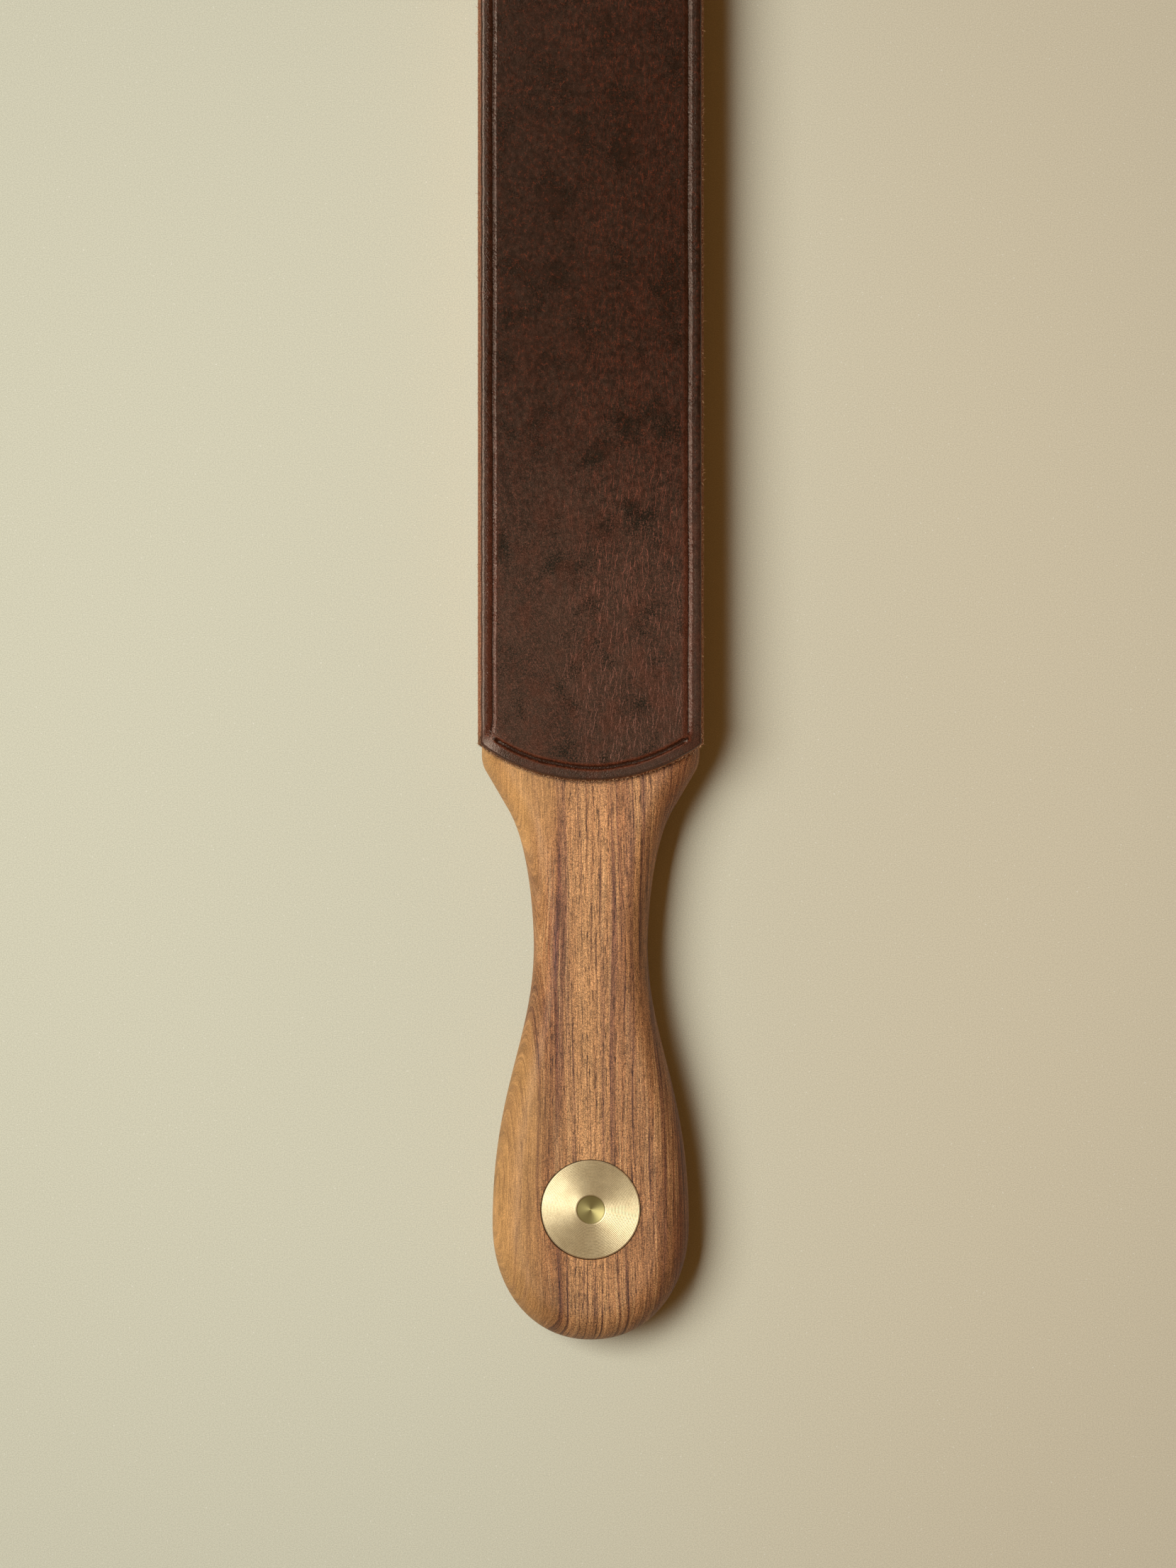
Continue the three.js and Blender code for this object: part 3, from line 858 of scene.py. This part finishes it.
def wrinkles(s, place, x, cloud):
    """Where the wrinkles of the face are: upright ones on its right, and a few leaning ones on its left."""
    bend = s.drift(place, 0.3, 0.22, 0.3)
    kinks = s.drift(place, 1.1, 1.3, 1.1, detail=1)
    bent = s.vector("ADD", place, s.vector("MULTIPLY", bend, (1.4, 0, 0)))
    bent = s.vector("ADD", bent, s.vector("MULTIPLY", kinks, (0.5, 0, 0)))
    to_left = s.step(s.plus(x, s.times(cloud, 20)), 14, 0)
    to_right = s.step(to_left, 0, 1, 1, 0.1)
    upright = s.plus(wrinkle_lines(s, bent, 0.75, 0.03, 0.0), wrinkle_lines(s, bent, 1.0, -0.2, 7.3))
    upright = s.plus(upright, s.times(wrinkle_lines(s, bent, 1.7, 0.14, 3.7), 0.55), clamp=True)
    leaning = s.times(wrinkle_lines(s, bent, 1.1, 0.62, 11.9), s.times(to_left, 0.35))
    return s.plus(s.times(upright, to_right), leaning, clamp=True)


def field_color(s, place, x, y, mottle, far, in_field):
    """The mottled, wrinkled and speckled colour of the face inside its border."""
    color = s.ramp(mottle, (0.3, srgb(33, 32, 26)), (0.5, srgb(62, 46, 37)), (0.7, srgb(118, 73, 58)))
    cloud = s.stretched(place, 0.09, 0.06, 0.09, detail=3, roughness=0.6)
    color = s.mix(s.step(cloud, 0.38, 0.62, 0, 0.35), color, srgb(80, 59, 48))

    wrinkle = s.times(s.times(wrinkles(s, place, x, cloud), in_field), s.step(y, -30, 50, 1, 0.75))
    wrinkle_color = s.mix(far, srgb(152, 106, 92), srgb(176, 74, 46))
    color = s.mix(s.times(wrinkle, 0.85), color, wrinkle_color)

    # Dark specks that crowd together in clusters.
    clusters = s.stretched(place, 0.12, 0.1, 0.12, detail=2)
    specks = s.stretched(place, 2.8, 2.4, 2.8, detail=3, roughness=0.7)
    crowded = s.plus(s.times(clusters, 1.1), s.times(far, -0.11))
    speck = s.step(s.plus(specks, crowded), 0.875, 0.815, 0, 0.9)
    color = s.mix(s.times(speck, in_field), color, srgb(24, 26, 20))
    color = s.mix(s.step(in_field, 1, 0.25, 0, 0.55), color, srgb(68, 49, 40))
    worn = s.stretched(place, 0.2, 0.13, 0.2, detail=3, roughness=0.65)
    color = s.mix(s.step(worn, 0.46, 0.66, 0, 0.3), color, srgb(94, 50, 36))

    # Short red curls, mostly towards the free end.
    curl = s.step(s.away(s.stretched(place, 1.5, 1.1, 1.5, detail=2, roughness=0.6), 0.5), 0.035, 0.008)
    curl = s.times(curl, s.step(s.stretched(place, 1.1, 1, 1.1, detail=2), 0.46, 0.6))
    return s.mix(s.times(curl, s.step(far, 0.4, 1, 0.04, 0.75)), color, srgb(164, 72, 44))


def crease_color(s, place, color, mottle, from_crease, at_arc):
    """The reddish stain round the creases, with their dark floors, partly burnished leather and partly
    painted shade, and, at the arc, torn edges.
    """
    stained = s.plus(from_crease, s.times(s.minus(mottle, 0.5), 2))
    color = s.mix(s.step(stained, 1.8, 0.7, 0, 0.75), color, srgb(84, 40, 25))
    torn = s.stretched(place, 2.2, 2.2, 2, detail=4, roughness=0.75)
    rim = s.step(s.away(s.plus(from_crease, s.times(s.minus(torn, 0.5), 3)), 0.9), 0.35, 0.05)
    rim = s.times(s.times(rim, s.step(torn, 0.4, 0.6, 0.1, 0.75)), at_arc)
    color = s.mix(rim, color, srgb(120, 62, 40))
    # The dark floors below are partly burnished leather and partly painted shade.
    channel = s.plus(from_crease, s.times(s.minus(torn, 0.5), 1.6))
    color = s.mix(s.times(s.step(channel, 0.85, 0.45, 0, 0.85), at_arc), color, srgb(42, 20, 11))
    floor = s.plus(from_crease, s.times(s.stretched(place, 2.5, 2.5, 2), 0.3))
    return s.mix(s.step(floor, 0.48, 0.24, 0, 0.85), color, srgb(38, 19, 11))


def painted_crease_glints(s, place, color, x, from_crease, at_arc):
    """Painted highlight: light specks on the crease walls that look to the left, towards the light."""
    past_middle = s.minus(x, s.times(s.math("SIGN", x), SIDE_CREASE_X / MM))
    specks = s.step(s.stretched(place, 6, 5, 6, detail=1), 0.44, 0.6)
    glint_share = s.times(specks, s.step(past_middle, 0.05, 0.35))
    glint_share = s.times(glint_share, s.step(from_crease, 1.15, 0.75))
    glint_share = s.times(glint_share, s.step(at_arc, 1, 0, 0, 0.34))
    return s.mix(glint_share, color, srgb(160, 114, 102))


def darken_far(s, place, color, far):
    """Makes the leather darker, redder and more blotched towards the free end."""
    blotch = s.step(s.stretched(place, 0.9, 0.7, 0.9, detail=4, roughness=0.7), 0.3, 0.7, -1, 1)
    blotch = s.plus(s.times(blotch, s.step(far, 0, 1, 0.12, 0.6)), 1)
    color = s.brighten(color, s.times(blotch, s.step(far, 0.2, 1, 1, 0.46)))
    return s.mix(s.step(far, 0.3, 1, 0, 0.35), color, srgb(46, 25, 13))


def raw_edge(s, place, color, x, edge, fuzz, far, at_arc):
    """Adds the tan of the raw cut, with a burnt line where the grain begins. Also gives the cut's share."""
    raw_color = s.ramp(
        fuzz,
        (0.36, srgb(104, 54, 34)),
        (0.5, srgb(158, 100, 72)),
        (0.64, srgb(200, 140, 104)),
    )
    shaded_color = s.ramp(fuzz, (0.42, srgb(58, 34, 23)), (0.6, srgb(160, 106, 70)))
    raw_color = s.mix(s.times(at_arc, s.step(x, 14, 4)), raw_color, shaded_color)
    raw_color = s.brighten(raw_color, s.step(far, 0, 1, 1, 0.74))
    ragged = s.plus(edge, s.times(s.stretched(place, 2.6, 2.6, 2.6, detail=2), 0.22))
    color = s.mix(s.step(s.away(ragged, 1.06), 0.12, 0.02, 0, 0.6), color, srgb(70, 42, 34))
    raw = s.step(ragged, 1.06, 0.98)
    return s.mix(raw, color, raw_color), raw


def leather_height(s, place, x, y, from_crease, in_field, at_arc, fuzz, raw):
    """The height for the bump: fine pebbles, slanting scratches in the creases, and the rough raw cut."""
    pebble = s.stretched(place, 3.2, 2.6, 3.2, detail=3, roughness=0.6)
    pebble = s.times(s.minus(pebble, 0.5), s.step(in_field, 1, 0.25, 0.4, 0.7))
    hatch = s.noise(s.join(s.times(s.plus(x, y), 2.6), s.times(s.minus(x, y), 0.5)), detail=2)
    hatch = s.times(s.minus(hatch, 0.5), s.step(from_crease, 1.2, 0.6))
    hatch = s.times(hatch, s.step(at_arc, 0, 1, 1, 0.06))
    height = s.plus(pebble, s.times(hatch, 3.2))
    return s.plus(height, s.times(s.times(s.minus(fuzz, 0.5), raw), 5.0))


def smooth_leather_material():
    s = Shader("smooth_leather")
    place = s.place()
    x, y, _ = s.split(place)
    edge = s.value("edge_share")
    from_crease = s.value("from_crease")
    # How surely the point is inside the border (0.25 to 1), near the free end and by the arc (0 to 1).
    in_field = s.step(s.value("way_in"), 3.0, 4.2, 0.25, 1)
    far = s.step(y, -60, 90)
    at_arc = s.step(y, LEATHER_CORNER_Y / MM + 3, LEATHER_CORNER_Y / MM + 1)
    mottle = s.stretched(place, 3.4, 2.6, 3.4, detail=4, roughness=0.8)
    fuzz = s.stretched(place, 4, 4, 2, detail=3, roughness=0.7)

    color = field_color(s, place, x, y, mottle, far, in_field)
    color = crease_color(s, place, color, mottle, from_crease, at_arc)
    color = s.brighten(color, s.step(s.stretched(place, 6.5, 6, 6.5, detail=1), 0.3, 0.7, 0.55, 1.45))
    # Painted highlight specks on the crease walls that face the light.
    color = painted_crease_glints(s, place, color, x, from_crease, at_arc)
    color = darken_far(s, place, color, far)
    color, raw = raw_edge(s, place, color, x, edge, fuzz, far, at_arc)
    s.set(Base_Color=color)

    # Dull specks break up the shine of the creases and of the rolled edge.
    glint = s.stretched(place, 4.5, 3.5, 4.5, detail=2, roughness=0.8)
    shiny = s.math("MAXIMUM", s.step(from_crease, 2, 1), s.step(edge, 2, 1.9))
    dull = s.times(s.step(glint, 0.42, 0.6), shiny)
    s.set(Roughness=s.step(s.plus(raw, s.times(dull, 0.2)), 0, 1, 0.18, 0.9))
    s.set(Specular_Tint=(1, 0.74, 0.58, 1), Specular_IOR_Level=0.36)
    height = leather_height(s, place, x, y, from_crease, in_field, at_arc, fuzz, raw)
    s.set(Normal=s.bump(height, 0.2 * MM, 0.38))
    return s.material


# ---- The other materials ----


def fibre_material():
    s = Shader("leather_fibre")
    tone = s.stretched(s.place(), 1.5, 1.5, 1.5)
    s.set(Base_Color=s.ramp(tone, (0.35, srgb(150, 98, 64)), (0.62, srgb(228, 180, 134))), Roughness=0.9)
    return s.material


def suede_material():
    s = Shader("suede")
    place = s.place()
    nap = s.stretched(place, 2.2, 1.1, 2.2, detail=5, roughness=0.75)
    brushed = s.stretched(place, 0.06, 0.04, 0.06, detail=3)
    color = s.ramp(nap, (0.3, srgb(112, 74, 46)), (0.55, srgb(150, 106, 70)), (0.75, srgb(178, 134, 94)))
    color = s.mix(s.step(brushed, 0.4, 0.65, 0, 0.35), color, srgb(120, 82, 54))
    s.set(Base_Color=color, Roughness=0.95, Sheen_Weight=0.4)
    s.set(Normal=s.bump(nap, 0.3 * MM, 0.8))
    return s.material


def brass_material():
    s = Shader("brass")
    place = s.place()
    tarnish = s.stretched(place, 0.4, 0.4, 0.4, detail=3)
    color = s.ramp(tarnish, (0.35, srgb(225, 202, 158)), (0.65, srgb(234, 212, 168)))
    face_middle = (DISC_X / MM, DISC_Y / MM, disc_high.z / MM)
    from_middle = s.length(s.vector("SUBTRACT", place, face_middle))
    # A dark line between the rings, stronger in some patches than in others.
    line = s.step(s.math("SINE", s.times(from_middle, 2 * math.pi / (RING_PITCH / MM))), 0.2, 0.95)
    patchy = s.stretched(place, 0.5, 0.5, 0.5, detail=3)
    color = s.brighten(color, s.step(s.times(line, patchy), 0, 0.6, 1, 0.6))
    color = s.brighten(color, s.step(s.stretched(place, 4, 4, 4, detail=3), 0.3, 0.7, 0.88, 1.08))
    in_recess = s.step(from_middle, RECESS_RADIUS / MM, RECESS_RADIUS / MM - 0.15)
    color = s.mix(in_recess, color, srgb(158, 144, 92))
    s.set(Base_Color=color, Metallic=0.8, Roughness=0.46)
    # The tool turned round the disc, so the metal is rougher outwards than it is around.
    around = s.add("Tangent", {}, direction_type="RADIAL", axis="Z")
    s.set(Anisotropic=0.74, Anisotropic_Rotation=0.23, Tangent=around)
    return s.material


def glue_material(name, color):
    s = Shader(name)
    lumps = s.stretched(s.place(), 0.9, 0.9, 2, detail=3)
    s.set(Base_Color=s.ramp(lumps, (0.35, srgb(*color)), (0.65, srgb(*[c + 22 for c in color]))))
    s.set(Roughness=0.6, Normal=s.bump(lumps, 0.1 * MM, 0.5))
    return s.material


# ---- The object ----

finish_piece(make_walnut(), walnut_material(), "walnut", "walnut_handle_and_paddle")
finish_piece(make_smooth_leather(), smooth_leather_material(), "smooth_leather", "smooth_leather")
finish_piece(make_fibres(), fibre_material(), "smooth_leather")
finish_piece(make_suede_leather(), suede_material(), "suede", "suede_leather")
finish_piece(make_disc(), brass_material(), "brass", "brass_disc")

cement = glue_material("contact_cement", (58, 44, 30))
epoxy = glue_material("epoxy", (70, 58, 40))
glues = {"smooth_leather_glue": cement, "suede_leather_glue": cement, "brass_disc_glue": epoxy}
for node, glue in glues.items():
    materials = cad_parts[node].data.materials
    materials.clear()
    materials.append(glue)


# ---- The floor, the light and the camera ----


def floor_material():
    s = Shader("floor")
    place = s.place()
    # Painted light: the floor turns warmer to the right, for a warm fill from that side.
    color = s.mix(s.step(s.split(place)[0], -60, 110), srgb(212, 209, 189), srgb(215, 204, 180))
    speck = s.stretched(place, 3.6, 4.2, 3.6, detail=2, roughness=0.7)
    color = s.brighten(color, s.step(speck, 0.3, 0.7, 0.885, 1.12))
    crumb = s.stretched(place, 1.9, 1.9, 1.9, detail=1)
    color = s.mix(s.step(crumb, 0.71, 0.78, 0, 0.6), color, srgb(244, 240, 226))
    # Painted shade: the floor darkens away from the middle of the view, as the light falls off.
    outward = s.length(s.vector("SUBTRACT", place, (0, CAMERA_Y / MM, 0)))
    color = s.mix(s.step(outward, 90, 270, 0, 0.13), color, srgb(60, 56, 48))
    s.set(Base_Color=color, Roughness=0.9)
    return s.material


def make_floor():
    signs = [(-1, -1), (1, -1), (1, 1), (-1, 1)]
    corners = [(x * FLOOR_HALF_SIZE, y * FLOOR_HALF_SIZE, 0) for x, y in signs]
    floor = make_object("floor", corners, [(0, 1, 2, 3)])
    floor.data.materials.append(floor_material())


def make_light():
    panel = bpy.data.lights.new("softbox", "AREA")
    panel.shape = "RECTANGLE"
    panel.size, panel.size_y = LIGHT_FAR - LIGHT_NEAR, LIGHT_WIDTH
    panel.spread = LIGHT_SPREAD
    panel.energy = LIGHT_WATTS
    panel.color = LIGHT_COLOR
    lamp = bpy.data.objects.new("softbox", panel)
    reach = (LIGHT_NEAR + LIGHT_FAR) / 2
    lamp.location = (reach * math.cos(LIGHT_AZIMUTH), reach * math.sin(LIGHT_AZIMUTH), LIGHT_HEIGHT)
    lamp.rotation_euler = (0, 0, LIGHT_AZIMUTH)
    lamp.visible_camera = False
    bpy.context.scene.collection.objects.link(lamp)


def make_world():
    world = bpy.data.worlds.new("warm_room")
    world.use_nodes = True
    background = world.node_tree.nodes["Background"]
    background.inputs["Color"].default_value = ROOM_COLOR
    background.inputs["Strength"].default_value = ROOM_STRENGTH
    bpy.context.scene.world = world


def make_camera():
    lens = bpy.data.cameras.new("camera")
    lens.sensor_width = SENSOR_WIDTH
    lens.lens = lens.sensor_width * CAMERA_ABOVE_LEATHER / VIEW_HEIGHT_AT_LEATHER
    camera = bpy.data.objects.new("camera", lens)
    camera.location = (CAMERA_X, CAMERA_Y, smooth_high.z + CAMERA_ABOVE_LEATHER)
    bpy.context.scene.collection.objects.link(camera)
    bpy.context.scene.camera = camera


make_floor()
make_light()
make_world()
make_camera()
bpy.context.scene.view_settings.view_transform = "Standard"
